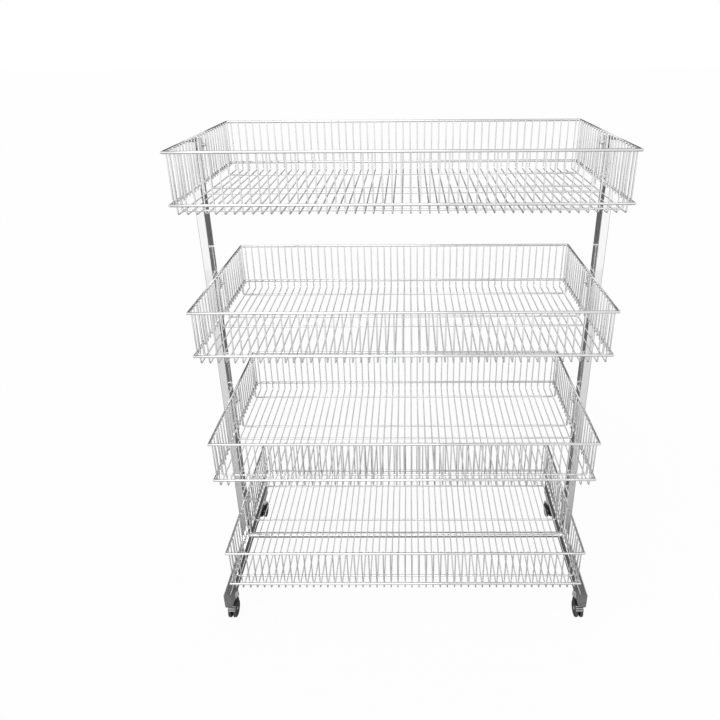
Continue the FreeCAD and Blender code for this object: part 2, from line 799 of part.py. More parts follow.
base_cross_tube()
part_group("cross_tube_plugs", [cross_tube_plug(name, side) for name, side in sides.items()])
part_group(
    "cross_tube_bolts",
    [
        side_bolt(f"CrossBolt_{name}", side, "(inner_face_x - cross_plug_depth)", "cross_tube_z")
        for name, side in sides.items()
    ],
)
part_group(
    "foot_bolts",
    [
        foot_bolt(side_name, side, end_name, end)
        for side_name, side in sides.items()
        for end_name, end in ends.items()
    ],
)

pivots = [
    (f"{tier_name}_{side_name}", side, pivot_height(tier))
    for tier, tier_name in enumerate(tiers)
    for side_name, side in sides.items()
]
part_group(
    "pivot_bolts",
    [side_bolt(f"PivotBolt_{name}", side, "pivot_bolt_end_x", z) for name, side, z in pivots],
)
part_group(
    "pivot_spacers", [pivot_spacer(f"PivotSpacer_{name}", side, z) for name, side, z in pivots]
)
part_group("pivot_nuts", [pivot_nut(f"PivotNut_{name}", side, z) for name, side, z in pivots])

end_wall = end_wall_pattern()
side_wall = side_wall_pattern()
floor = floor_pattern()
half_turn = 180
for tier, tier_name in enumerate(tiers):
    panels = [
        ("front_wall", end_wall, 0), ("back_wall", end_wall, half_turn),
        ("left_wall", side_wall, 0), ("right_wall", side_wall, half_turn), ("floor", floor, 0),
    ]
    for panel_name, pattern, turn in panels:
        label = f"{tier_name}_basket_{panel_name}"
        place_copy(label, pattern, "0", "0", rim_height(tier), turn)

castor_places = [
    (f"{end_name}_{side_name}", f"{side} * upright_x", end)
    for end_name, end in ends.items()
    for side_name, side in sides.items()
]
part_group(
    "castor_stems",
    [castor_stem(f"Stem_{name}", x, f"{end} * stem_y") for name, x, end in castor_places],
)
part_group(
    "castor_stem_nuts",
    [castor_stem_nut(f"StemNut_{name}", x, f"{end} * stem_y") for name, x, end in castor_places],
)
castor_housing = castor_housing_pattern()
castor_axle = castor_axle_pattern()
castor_wheel = castor_wheel_pattern()
for name, x, end in castor_places:
    turn = 0 if end == ends["front"] else half_turn
    stem_place = (x, f"{end} * stem_y", "0")
    axle_place = (x, f"{end} * axle_y", "axle_z")
    place_copy(f"{name}_castor_housing", castor_housing, *stem_place, turn)
    place_copy(f"{name}_castor_axle", castor_axle, *stem_place, turn)
    place_copy(f"{name}_castor_right_wheel", castor_wheel, *axle_place, 0)
    place_copy(f"{name}_castor_left_wheel", castor_wheel, *axle_place, half_turn)

doc.recompute()

for item in doc.Objects:
    if "Invalid" in item.State or "Error" in item.State:
        raise RuntimeError(f"{item.Label} failed: {item.State}")
for item in parts:
    if item.Shape.isNull() or not item.Shape.isValid():
        raise RuntimeError(f"{item.Label} has no valid shape")

os.makedirs("parts", exist_ok=True)
for item in parts:
    item.Shape.exportStep(f"parts/{item.Label}.step")
    box = item.Shape.BoundBox
    print(
        f"{item.Label}: {len(item.Shape.Solids)} solid(s), {item.Shape.Volume:.0f} mm3,",
        f"x {box.XMin:.1f} to {box.XMax:.1f}, y {box.YMin:.1f} to {box.YMax:.1f},",
        f"z {box.ZMin:.1f} to {box.ZMax:.1f}",
    )
print(len(parts), "sub-parts")
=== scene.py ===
# %% [markdown]
# # A tiered display stand, dressed in Blender
#
# Shops use this stand for loose goods. Four welded wire baskets hang between two chrome uprights,
# and the uprights stand on two foot rails with castors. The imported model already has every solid
# at its real size. This lesson gives those solids their finishes, and rebuilds the wire baskets,
# bolts and castors with more care than a plain solid has.

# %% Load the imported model
import json
import math
import random

import bmesh
import bpy
from mathutils import Matrix, Vector


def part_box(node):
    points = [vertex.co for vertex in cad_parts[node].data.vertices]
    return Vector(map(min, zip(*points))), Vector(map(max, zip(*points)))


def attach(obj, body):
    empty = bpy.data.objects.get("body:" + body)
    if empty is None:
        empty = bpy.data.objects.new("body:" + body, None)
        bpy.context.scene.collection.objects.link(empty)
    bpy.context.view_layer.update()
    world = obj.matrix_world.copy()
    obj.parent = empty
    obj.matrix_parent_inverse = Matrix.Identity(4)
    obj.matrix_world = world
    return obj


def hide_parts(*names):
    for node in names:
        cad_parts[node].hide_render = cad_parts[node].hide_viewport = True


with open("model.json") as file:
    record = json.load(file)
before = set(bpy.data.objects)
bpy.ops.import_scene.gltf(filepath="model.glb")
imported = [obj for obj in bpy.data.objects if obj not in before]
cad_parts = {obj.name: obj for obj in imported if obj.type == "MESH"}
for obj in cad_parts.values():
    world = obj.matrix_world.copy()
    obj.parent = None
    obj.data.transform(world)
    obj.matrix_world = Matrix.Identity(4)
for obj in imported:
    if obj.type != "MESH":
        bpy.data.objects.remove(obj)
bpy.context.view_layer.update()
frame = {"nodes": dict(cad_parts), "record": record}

# %% [markdown]
# ## Units and names
#
# Blender works in metres here, but wire and tube sizes are easier to read in millimetres. One
# constant turns them into metres. The tiers, sides and ends are named as on the stand, and a sign
# goes with each side and end, so one line of code can serve both. A castor keeps the sign of its
# end.

# %% Units, tiers, sides, ends and castors
mm = 0.001
tiers = ["top", "upper", "lower", "bottom"]
sides = {"left": -1, "right": 1}
ends = {"front": -1, "rear": 1}
castors = {
    f"{end_name}_{side_name}_castor": end for end_name, end in ends.items() for side_name in sides
}
quarter_turn = math.pi / 2
full_turn = 2 * math.pi
print("castors:", ", ".join(castors))

# %% [markdown]
# ## How finishes are made
#
# Every finish starts from a Principled shader. Its plain numbers go straight on the shader's own
# sockets. What varies over a surface, such as roughness or a fine bump, comes from noise that is
# measured in object space, so it stays on the piece when the piece moves.

# %% A plain finish and its noise
def new_finish(name, colour, metallic, roughness):
    """A material with its plain values set. Returns the material and its shader."""
    material = bpy.data.materials.new(name)
    material.use_nodes = True
    shader = material.node_tree.nodes["Principled BSDF"]
    shader.inputs["Base Color"].default_value = (*colour, 1)
    shader.inputs["Metallic"].default_value = metallic
    shader.inputs["Roughness"].default_value = roughness
    return material, shader


def add_noise(material, scale, detail, stretch=(1, 1, 1)):
    """Noise in object space, in waves per metre. A stretch above 1 makes finer waves that way."""
    tree = material.node_tree
    place = tree.nodes.new("ShaderNodeTexCoord")
    mapping = tree.nodes.new("ShaderNodeMapping")
    mapping.inputs["Scale"].default_value = stretch
    noise = tree.nodes.new("ShaderNodeTexNoise")
    noise.inputs["Scale"].default_value = scale
    noise.inputs["Detail"].default_value = detail
    tree.links.new(place.outputs["Object"], mapping.inputs["Vector"])
    tree.links.new(mapping.outputs["Vector"], noise.inputs["Vector"])
    return noise


# %% [markdown]
# Noise can drive a number, a colour or a bump. It seldom leaves the middle of its range, so a
# stretch there is spread over all of the wanted range.

# %% What noise drives
number_stretch = (0.3, 0.7)
colour_stretch = (0.35, 0.65)
print("stretch for numbers:", number_stretch, "and for colours:", colour_stretch)


def vary(material, noise, socket, low, high):
    """Let noise move a shader's number between two values."""
    tree = material.node_tree
    spread = tree.nodes.new("ShaderNodeMapRange")
    spread.inputs["From Min"].default_value = number_stretch[0]
    spread.inputs["From Max"].default_value = number_stretch[1]
    spread.inputs["To Min"].default_value = low
    spread.inputs["To Max"].default_value = high
    tree.links.new(noise.outputs["Fac"], spread.inputs["Value"])
    tree.links.new(spread.outputs["Result"], socket)


def vary_colour(material, noise, socket, low, high):
    """Let noise move a colour between two others."""
    tree = material.node_tree
    ramp = tree.nodes.new("ShaderNodeValToRGB")
    for element, place, colour in zip(ramp.color_ramp.elements, colour_stretch, (low, high)):
        element.position = place
        element.color = (*colour, 1)
    tree.links.new(noise.outputs["Fac"], ramp.inputs["Fac"])
    tree.links.new(ramp.outputs["Color"], socket)


def add_bump(material, noise, shader, depth):
    """Push the shading up and down by noise. The depth is in metres."""
    tree = material.node_tree
    bump = tree.nodes.new("ShaderNodeBump")
    bump.inputs["Strength"].default_value = 1
    bump.inputs["Distance"].default_value = depth
    tree.links.new(noise.outputs["Fac"], bump.inputs["Height"])
    tree.links.new(bump.outputs["Normal"], shader.inputs["Normal"])


# %% [markdown]
# ## Chrome
#
# Chrome is a thin bright metal layer, so it is fully metallic and very smooth. The tubes keep
# faint lines along their length from drawing and polishing. They are noise that is stretched
# along the tube, so an upright, a rail and the cross tube each need their own direction.

# %% Chrome for tubes
finishes = {}
own_finishes = {}
line_stretch = 0.02


def drawn_chrome(name, stretch):
    """Polished tube. The stretch is small along the tube, so the faint lines run that way."""
    material, shader = new_finish(name, colour=(0.94, 0.94, 0.945), metallic=1, roughness=0.06)
    smudges = add_noise(material, scale=22, detail=4)
    vary(material, smudges, shader.inputs["Roughness"], low=0.03, high=0.09)
    draw_lines = add_noise(material, scale=260, detail=2, stretch=stretch)
    add_bump(material, draw_lines, shader, depth=0.012 * mm)
    return material


finishes["polished_chrome"] = drawn_chrome("polished_chrome", (1, 1, line_stretch))
own_finishes["base_cross_tube"] = drawn_chrome("cross_tube_chrome", (line_stretch, 1, 1))
rail_chrome = drawn_chrome("rail_chrome", (1, line_stretch, 1))
for side_name in sides:
    own_finishes[f"{side_name}_foot_rail"] = rail_chrome
print("tubes with their own direction:", ", ".join(sorted(own_finishes)))

# %% [markdown]
# The wires are plated after welding, so they are a little softer in gloss, and their tone isn't
# quite even. The welds are rough little beads under the same plating: duller and darker.

# %% Chrome for wires and welds
wire_chrome, shader = new_finish("wire_chrome", (0.84, 0.84, 0.845), metallic=1, roughness=0.1)
plating = add_noise(wire_chrome, scale=60, detail=3)
vary(wire_chrome, plating, shader.inputs["Roughness"], low=0.06, high=0.15)
tone = add_noise(wire_chrome, scale=9, detail=2)
vary_colour(wire_chrome, tone, shader.inputs["Base Color"], (0.78, 0.78, 0.79), (0.90, 0.90, 0.905))
finishes["wire_chrome"] = wire_chrome

weld_chrome, shader = new_finish("weld_chrome", (0.55, 0.56, 0.58), metallic=1, roughness=0.3)
beads = add_noise(weld_chrome, scale=900, detail=2)
vary(weld_chrome, beads, shader.inputs["Roughness"], low=0.22, high=0.42)
add_bump(weld_chrome, beads, shader, depth=0.12 * mm)
print("wire finishes:", wire_chrome.name, weld_chrome.name)

# %% [markdown]
# ## Zinc and plastics
#
# Bolts, nuts and collars are bright zinc, softer in gloss than chrome. The pressed caps on the
# castors' axles are duller still.

# %% Zinc
zinc, shader = new_finish("zinc_steel", (0.82, 0.82, 0.83), metallic=1, roughness=0.3)
spangle = add_noise(zinc, scale=320, detail=3)
vary(zinc, spangle, shader.inputs["Roughness"], low=0.24, high=0.42)
vary_colour(zinc, spangle, shader.inputs["Base Color"], (0.86, 0.86, 0.87), (0.96, 0.96, 0.95))
finishes["zinc_steel"] = zinc
cap_zinc, shader = new_finish("axle_cap_zinc", (0.95, 0.95, 0.95), metallic=1, roughness=0.5)
pressed = add_noise(cap_zinc, scale=500, detail=2)
vary(cap_zinc, pressed, shader.inputs["Roughness"], low=0.42, high=0.6)
for castor in castors:
    own_finishes[f"{castor}_axle"] = cap_zinc
print("zinc finishes:", zinc.name, cap_zinc.name)

# %% [markdown]
# Caps, castors and spacers are moulded plastic: a fine spark-eroded grain, and a sheen that
# changes a little from place to place. The ribs on a castor's hood are painted a paler grey: a
# painted highlight for the glints on them. Each row of the table gives a finish its darkest and
# palest tone, the range of its roughness, and how fine and how deep the grain is.

# %% Plastics
def grained(name, low, high, roughness, grain_scale, grain_depth):
    """A moulded surface: two close tones, an uneven sheen and a fine grain."""
    material, shader = new_finish(name, high, metallic=0, roughness=sum(roughness) / 2)
    patches = add_noise(material, scale=45, detail=4)
    vary_colour(material, patches, shader.inputs["Base Color"], low, high)
    vary(material, patches, shader.inputs["Roughness"], *roughness)
    grain = add_noise(material, grain_scale, detail=2)
    add_bump(material, grain, shader, grain_depth * mm)
    finishes[name] = material


plastics = {
    "cap_plastic": ((0.145, 0.143, 0.15), (0.185, 0.183, 0.19), (0.42, 0.56), 2200, 0.03),
    "castor_plastic": ((0.018, 0.018, 0.02), (0.032, 0.032, 0.035), (0.2, 0.34), 2200, 0.02),
    "wheel_plastic": ((0.04, 0.04, 0.043), (0.065, 0.065, 0.068), (0.3, 0.5), 1400, 0.02),
    # Painted highlight: the ribs' pale grey stands for the glints on them.
    "rubbed_plastic": ((0.52, 0.52, 0.53), (0.70, 0.70, 0.71), (0.3, 0.45), 1400, 0.02),
    "spacer_nylon": ((0.70, 0.70, 0.68), (0.78, 0.78, 0.76), (0.4, 0.55), 1800, 0.02),
}
for name, values in plastics.items():
    grained(name, *values)
print("finishes:", ", ".join(sorted(finishes)))

# %% [markdown]
# ## Dressing the nodes that stay
#
# Tubes, caps, blocks and collars have the right shape in the imported model. They only need their
# finish, and the caps and collars a narrow bevel, because no sawn or moulded edge is perfectly
# sharp. The bevel is a modifier: it changes what is drawn and leaves the mesh alone.

# %% Finish every node by its own name or by its material slot
sharp_angle = 40
cap_edge = 0.7 * mm
collar_edge = 0.4 * mm
fine_steps = 3
slot_of = {row["node"]: row["material_slot"] for row in frame["record"]["subparts"]}
for name, node in frame["nodes"].items():
    node.data.materials.clear()
    node.data.materials.append(own_finishes.get(name, finishes[slot_of[name]]))


def ease_edges(node, width, steps=2):
    """Round the sharp edges of a node a little."""
    bevel = node.modifiers.new("eased_edges", "BEVEL")
    bevel.width = width
    bevel.segments = steps
    bevel.limit_method = "ANGLE"
    bevel.angle_limit = math.radians(sharp_angle)
    bevel.harden_normals = True


for name, node in frame["nodes"].items():
    if name.endswith("_cap"):
        ease_edges(node, cap_edge, fine_steps)
    if name in ("castor_stems", "pivot_spacers"):
        ease_edges(node, collar_edge)
print("dressed nodes:", len(slot_of))

# %% [markdown]
# ## How new pieces are added
#
# A new piece needs four things: a place in the scene, its finish, the body that it moves with, and
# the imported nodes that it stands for. One helper does all four, so no piece is left behind when
# the stand moves.

# %% Helper that adds a piece
def add_piece(name, data, body, slot, nodes=(), finish=None):
    """Put a mesh or curve in the scene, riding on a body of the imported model."""
    piece = bpy.data.objects.new(name, data)
    bpy.context.scene.collection.objects.link(piece)
    data.materials.append(finish or finishes[slot])
    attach(piece, body)
    if nodes:
        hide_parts(*nodes)
    return piece


# %% [markdown]
# ## Wires as curves
#
# A bent wire is a line with a thickness, and that is just what a Blender curve with a bevel is.
# Each wire is one spline, and all wires of one kind in a basket share a curve object. Every point
# of a spline has a radius of its own, which rounds the cropped ends of the wires.

# %% Helpers for wires
wire_radius = 1.5 * mm
cross_radius = 2.3 * mm
rod_radius = 3 * mm
wire_sides = 12
cross_sides = 16
rod_sides = 20
rod_bluntness = 0.55
bend_steps = 7
print(f"wires {2 * wire_radius:.4f} m thick, rods {2 * rod_radius:.4f} m")


def arc_points(centre, start, turn_axis, angle):
    """Points from start round the centre, turned about an axis."""
    arm = start - centre
    return [
        centre + Matrix.Rotation(angle * step / bend_steps, 3, turn_axis) @ arm
        for step in range(bend_steps + 1)
    ]


def with_eased_ends(points, radius, bluntness):
    """Add points near both ends, so that the wire narrows a little just before it stops.

    Each row of the shape says how many radii from the end, and how thick the wire is there.
    """
    shape = [(0, bluntness), (0.25, (1 + 2 * bluntness) / 3), (0.7, 1)]
    first, last = points[0], points[-1]
    inwards = (points[1] - first).normalized()
    back = (points[-2] - last).normalized()
    start = [(first + inwards * radius * reach, size) for reach, size in shape]
    finish = [(last + back * radius * reach, size) for reach, size in reversed(shape)]
    return start + [(point, 1) for point in points[1:-1]] + finish


def wire_curve(name, wires, radius, sides_of_wire, bluntness=0.7):
    """One curve with a spline for each wire."""
    curve = bpy.data.curves.new(name, "CURVE")
    curve.dimensions = "3D"
    curve.bevel_depth = radius
    curve.bevel_resolution = sides_of_wire // 2 - 2
    curve.use_fill_caps = True
    for points in wires:
        eased = with_eased_ends(points, radius, bluntness)
        spline = curve.splines.new("POLY")
        spline.points.add(len(eased) - 1)
        for spot, (point, size) in zip(spline.points, eased):
            spot.co = (*point, 1)
            spot.radius = size
    return curve


# %% [markdown]
# ## Measuring a basket
#
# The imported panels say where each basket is, so the wires are worked out from their boxes. The
# rods lie outside the wires, and each weld presses them into each other by a fraction of a
# millimetre.

# %% Sizes that all baskets share
weld_bite = 0.4 * mm
weld_step = rod_radius + wire_radius - weld_bite
panel_low, panel_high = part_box("top_basket_front_wall")
half_width = panel_high.x
end_rod_y = -panel_low.y - rod_radius
side_rod_x = half_width - rod_radius
bow_y = end_rod_y - weld_step
side_wire_x = side_rod_x - weld_step
bottom_drop = 106 * mm
floor_drop = 126 * mm
wire_rise = 1.5 * mm
bow_bend = 5 * mm
cross_bend = 5 * mm
bow_count = 49
bow_margin = 12 * mm
bow_half_span = side_rod_x - bow_margin
side_count = 24
side_margin = 9.7 * mm
side_half_span = end_rod_y - side_margin
side_pitch = 2 * side_half_span / (side_count - 1)
tail_drop = bottom_drop + 6 * mm
cross_drop = floor_drop + wire_radius + cross_radius - weld_bite
cross_end_x = side_rod_x - rod_radius - cross_radius + weld_bite
print(f"half width {half_width:.4f} m, end rods at {end_rod_y:.4f} m")

# %% [markdown]
# ## Bow wires
#
# A bow wire starts at the front rim, runs down, bends in under the basket, crosses the floor and
# comes up to the back rim, all in one length. Welded by hand in a jig, no two lie quite alike, so
# each one shifts by a few tenths of a millimetre. The random numbers have a fixed seed, so the
# basket is the same every time.

# %% Bow wires
bow_wander = 0.5 * mm


def spread(count, half_span):
    """Evenly spaced places from one end of a span to the other."""
    return [half_span * (2 * number / (count - 1) - 1) for number in range(count)]


def bow_wire(x, rim, wobble):
    """The line of one wire from the front rim to the back rim."""
    floor = rim - floor_drop
    shift = [wobble.uniform(-1, 1) * bow_wander for corner in range(4)]
    front = Vector((x + shift[1], -bow_y, floor + bow_bend))
    back = Vector((x + shift[2], bow_y - bow_bend, floor))
    lean_in = Vector((0, bow_bend, 0))
    points = [Vector((x + shift[0], -bow_y, rim + wire_rise + shift[0] / 2))]
    points += arc_points(front + lean_in, front, "X", quarter_turn)
    points += arc_points(back + Vector((0, 0, bow_bend)), back, "X", quarter_turn)
    points.append(Vector((x + shift[3], bow_y, rim + wire_rise + shift[3] / 2)))
    return points


def add_bow_wires(tier, rim, wobble):
    """The bow wires of one basket. They stand for its front wall, its back wall and its floor."""
    wires = [bow_wire(x, rim, wobble) for x in spread(bow_count, bow_half_span)]
    name = f"{tier}_basket_bow_wires"
    curve = wire_curve(name, wires, wire_radius, wire_sides)
    stands_for = [f"{tier}_basket_{panel}" for panel in ("front_wall", "back_wall", "floor")]
    add_piece(name, curve, f"{tier}_basket", "wire_chrome", stands_for)


# %% [markdown]
# ## Side wires and cross wires
#
# The side walls have short straight wires. Four of them on each side go on under the floor as
# cross wires: each is one long U that carries the bow wires from below. A cross wire looks
# heavier in the photograph than the others, so it is drawn thicker.

# %% Side wires and cross wires
cross_steps = (-19, -3, 3, 19)
cross_places = [side_pitch / 2 * steps for steps in cross_steps]
side_wander = 0.4 * mm
print("cross wires at", [round(place, 3) for place in cross_places])


def side_wires(rim, wobble):
    """Straight wires of both side walls, where no cross wire comes up."""
    wires = []
    for side in sides.values():
        for y in spread(side_count, side_half_span):
            if min(abs(y - place) for place in cross_places) < side_pitch / 4:
                continue
            shift = [wobble.uniform(-1, 1) * side_wander for corner in range(3)]
            top = Vector((side * side_wire_x, y + shift[0], rim + wire_rise + shift[2]))
            foot = Vector((side * side_wire_x, y + shift[1], rim - tail_drop + shift[2]))
            wires.append([top, foot])
    return wires


def cross_wire(y, rim):
    """The line of one wire from the left rim, under the floor, to the right rim."""
    level = rim - cross_drop
    left = Vector((-cross_end_x, y, level + cross_bend))
    right = Vector((cross_end_x - cross_bend, y, level))
    points = [Vector((-cross_end_x, y, rim + wire_rise))]
    points += arc_points(left + Vector((cross_bend, 0, 0)), left, "Y", -quarter_turn)
    points += arc_points(right + Vector((0, 0, cross_bend)), right, "Y", -quarter_turn)
    points.append(Vector((cross_end_x, y, rim + wire_rise)))
    return points


def add_side_wires(tier, rim, wobble):
    """The side wires of one basket, which stand for its side walls, and its cross wires."""
    name = f"{tier}_basket_side_wires"
    curve = wire_curve(name, side_wires(rim, wobble), wire_radius, wire_sides)
    stands_for = [f"{tier}_basket_left_wall", f"{tier}_basket_right_wall"]
    add_piece(name, curve, f"{tier}_basket", "wire_chrome", stands_for)
    name = f"{tier}_basket_cross_wires"
    wires = [cross_wire(y, rim) for y in cross_places]
    curve = wire_curve(name, wires, cross_radius, cross_sides)
    add_piece(name, curve, f"{tier}_basket", "wire_chrome")


# %% [markdown]
# ## Rods
#
# The rim and the lower frame of a basket are thicker rods. The front and back rods run the full
# width. The side rods butt against them, and their ends disappear in the welds.

# %% Rim rods and bottom rods
def basket_rods(rim):
    """The lines of the rim rods and of the bottom rods."""
    rods = []
    for height in (rim, rim - bottom_drop):
        for sign in (-1, 1):
            long_rod = [(x, sign * end_rod_y) for x in (-half_width, 0, half_width)]
            side_rod = [(sign * side_rod_x, y) for y in (-end_rod_y, 0, end_rod_y)]
            for line in (long_rod, side_rod):
                rods.append([Vector((x, y, height)) for x, y in line])
    return rods


def add_rods(tier, rim):
    """The eight rods of one basket."""
    name = f"{tier}_basket_rods"
    curve = wire_curve(name, basket_rods(rim), rod_radius, rod_sides, rod_bluntness)
    add_piece(name, curve, f"{tier}_basket", "wire_chrome")


# %% [markdown]
# ## Weld beads
#
# Where a wire crosses a rod, the weld squeezes out a little metal on both sides. One small
# flattened bead at each crossing is enough. All beads of a basket are one mesh, built ring by
# ring, because thousands of separate objects would be slow.

# %% Weld beads
bead_sides = 8
bead_rings = (0.38, 0.92, 0.92, 0.38)
bead_levels = (-0.92, -0.38, 0.38, 0.92)
bead_along = 2.3 * mm
bead_through = 1.1 * mm
bead_up = 2.0 * mm
floor_bead = Vector((1.7, 1.7, 0.8)) * mm
least_bead, most_bead = 0.85, 1.12


def add_bead(vertices, faces, centre, size):
    """One flattened ball: a point, four rings and a point."""
    first = len(vertices)
    vertices.append(centre - Vector((0, 0, size.z)))
    for ring, level in zip(bead_rings, bead_levels):
        for number in range(bead_sides):
            angle = full_turn * number / bead_sides
            across = Vector((math.cos(angle) * ring, math.sin(angle) * ring, level))
            vertices.append(centre + Vector(a * b for a, b in zip(across, size)))
    vertices.append(centre + Vector((0, 0, size.z)))
    last = len(vertices) - 1
    for number in range(bead_sides):
        following = (number + 1) % bead_sides
        faces.append((first, first + 1 + following, first + 1 + number))
        for ring in range(len(bead_rings) - 1):
            low = first + 1 + ring * bead_sides
            high = low + bead_sides
            faces.append((low + number, low + following, high + following, high + number))
        top = last - bead_sides
        faces.append((top + number, top + following, last))


def bead_places(rim):
    """Each crossing of a basket, with how wide the bead is along X, Y and Z."""
    contact_y = end_rod_y - rod_radius + weld_bite / 2
    contact_x = side_rod_x - rod_radius + weld_bite / 2
    places = []
    for height in (rim, rim - bottom_drop):
        for sign in (-1, 1):
            for x in spread(bow_count, bow_half_span):
                size = Vector((bead_along, bead_through, bead_up))
                places.append((Vector((x, sign * contact_y, height)), size))
            for y in spread(side_count, side_half_span):
                size = Vector((bead_through, bead_along, bead_up))
                places.append((Vector((sign * contact_x, y, height)), size))
    for x in spread(bow_count, bow_half_span):
        for y in cross_places:
            below = rim - floor_drop - wire_radius + weld_bite / 2
            places.append((Vector((x, y, below)), floor_bead))
    return places


def mesh_from(name, vertices, faces, smooth=True):
    """A mesh from lists of points and faces, with every face turned outwards."""
    mesh = bpy.data.meshes.new(name)
    mesh.from_pydata(vertices, [], faces)
    work = bmesh.new()
    work.from_mesh(mesh)
    bmesh.ops.recalc_face_normals(work, faces=work.faces)
    work.to_mesh(mesh)
    work.free()
    if smooth:
        mesh.shade_smooth()
    return mesh


def add_welds(tier, rim, wobble):
    """All beads of one basket. No two are quite the same size."""
    vertices, faces = [], []
    for centre, size in bead_places(rim):
        add_bead(vertices, faces, centre, size * wobble.uniform(least_bead, most_bead))
    name = f"{tier}_basket_welds"
    mesh = mesh_from(name, vertices, faces)
    add_piece(name, mesh, f"{tier}_basket", "wire_chrome", finish=weld_chrome)


# %% [markdown]
# ## Lug plates
#
# A flat plate on the outside of each side wall takes the bolt that carries the basket. Its corners
# are rounded and its hole is punched. The same angles run round the outline and round the hole,
# so the two rings join with plain four-sided faces.

# %% Lug plates
lug_width = 32 * mm
lug_height = 30 * mm
lug_corner = 5 * mm
lug_thickness = 2.5 * mm
lug_edge = 0.4 * mm
hole_clearance = 0.05 * mm
pivot_drop = 22 * mm
bolt_radius = 3 * mm
lug_inner_x = side_wire_x + wire_radius - weld_bite
ring_steps = 48
print(f"lugs lie on the side wires at {lug_inner_x:.4f} m")


def rounded_outline(angle):
    """Where a ray from the middle of a lug meets its outline."""
    ray = Vector((math.cos(angle), math.sin(angle)))
    half = Vector((lug_width / 2, lug_height / 2))
    reach = min(size / max(abs(part), 1e-9) for size, part in zip(half, ray))
    point = ray * reach
    inner = half - Vector((lug_corner, lug_corner))
    past = Vector((abs(point.x) - inner.x, abs(point.y) - inner.y))
    if min(past) > 0 and past.length > lug_corner:
        corner = Vector((math.copysign(inner.x, point.x), math.copysign(inner.y, point.y)))
        along = corner.dot(ray)
        reach = along + math.sqrt(along * along - corner.length_squared + lug_corner**2)
    return ray * reach


def add_lugs(tier, rim):
    """Both lugs of a basket as one mesh: front and back rings, joined by walls."""
    vertices, faces = [], []
    middle = rim - pivot_drop
    for side in sides.values():
        first = len(vertices)
        for depth in (0, lug_thickness):
            x = side * (lug_inner_x + depth)
            for step in range(ring_steps):
                angle = full_turn * step / ring_steps
                outline = rounded_outline(angle)
                hole = Vector((math.cos(angle), math.sin(angle))) * (bolt_radius + hole_clearance)
                for point in (outline, hole):
                    vertices.append(Vector((x, point.x, middle + point.y)))
        for step in range(ring_steps):
            here = first + 2 * step
            there = first + 2 * ((step + 1) % ring_steps)
            far = 2 * ring_steps
            faces.append((here, there, there + 1, here + 1))
            faces.append((here + far, here + far + 1, there + far + 1, there + far))
            faces.append((here, here + far, there + far, there))
            faces.append((here + 1, there + 1, there + far + 1, here + far + 1))
    name = f"{tier}_basket_lugs"
    mesh = mesh_from(name, vertices, faces, smooth=False)
    lugs = add_piece(name, mesh, f"{tier}_basket", "wire_chrome")
    ease_edges(lugs, lug_edge, fine_steps)


# %% [markdown]
# ## Hanging the four baskets
#
# Every part of a basket is measured from its rim, so the four tiers differ only in that one
# height. Each tier gets its own stream of random numbers.

# %% Build the four baskets
rims = {tier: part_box(f"{tier}_basket_front_wall")[1].z - rod_radius for tier in tiers}
first_seed = 100
for number, (tier, rim) in enumerate(rims.items()):
    wobble = random.Random(first_seed + number)
    add_bow_wires(tier, rim, wobble)
    add_side_wires(tier, rim, wobble)
    add_rods(tier, rim)
    add_welds(tier, rim, wobble)
    add_lugs(tier, rim)
    print(f"{tier} basket: rim at {rim:.3f} m")

# %% [markdown]
# ## Turned pieces
#
# Bolts, nuts and wheels are made on a lathe or moulded round an axis. A list of rings describes
# each of them: how far along X, how large, and round or six-sided. Neighbouring rings are joined
# by a band of faces, and the castors' hoods will use the same bands.

# %% Helpers for turned pieces
turn_steps = 48
crease_angle = 35


def around_x(angle):
    """A direction square to X."""
    return Vector((0, math.cos(angle), math.sin(angle)))


def join_rings(faces, first, count, rings, closed=False):
    """Bands of faces from ring to ring. A closed row joins its last ring to its first."""
    for band in range(rings if closed else rings - 1):
        low = first + band * count
        high = first + (band + 1) % rings * count
        for number in range(count):
            following = (number + 1) % count
            faces.append((low + number, low + following, high + following, high + number))
    if not closed:
        last = first + (rings - 1) * count
        faces.append(tuple(range(first, first + count)))
        faces.append(tuple(range(last, last + count)))


def ring_radius(size, shape, angle):
    """The reach of a ring at one angle. A hexagon's size is half its width across the flats."""
    if shape == "round":
        return size
    sixth = full_turn / 6
    return size / math.cos(angle % sixth - sixth / 2)


def add_turned(vertices, faces, rings, centre, direction, closed=False):
    """Add one turned shape. A nut or a wheel is closed, because its rings go round its bore."""
    first = len(vertices)
    for distance, size, shape in rings:
        along = Vector((direction * distance, 0, 0))
        for step in range(turn_steps):
            angle = full_turn * step / turn_steps
            arm = around_x(angle) * ring_radius(size, shape, angle)
            vertices.append(centre + along + arm)
    join_rings(faces, first, turn_steps, len(rings), closed)


def smooth_by_angle(piece):
    """Shade gentle steps as curves and keep sharp corners sharp."""
    piece.data.shade_smooth()
    piece.data.set_sharp_from_angle(angle=math.radians(crease_angle))


# %% [markdown]
# ## Bolts and nuts
#
# A basket bolt has a low button head with a hexagon socket outside the upright, and a few turns of
# thread show past its nut inside the basket. The thread is a real helix: every column of points
# round the bolt sits a little further along than the one before it.

# %% Threads
thread_pitch = 1 * mm
thread_depth = 0.42 * mm
thread_columns = 24
thread_profile = (0, 0.5, 1, 0.5)
thread_run_in = 0.1 * mm
thread_run_out = 0.3 * mm


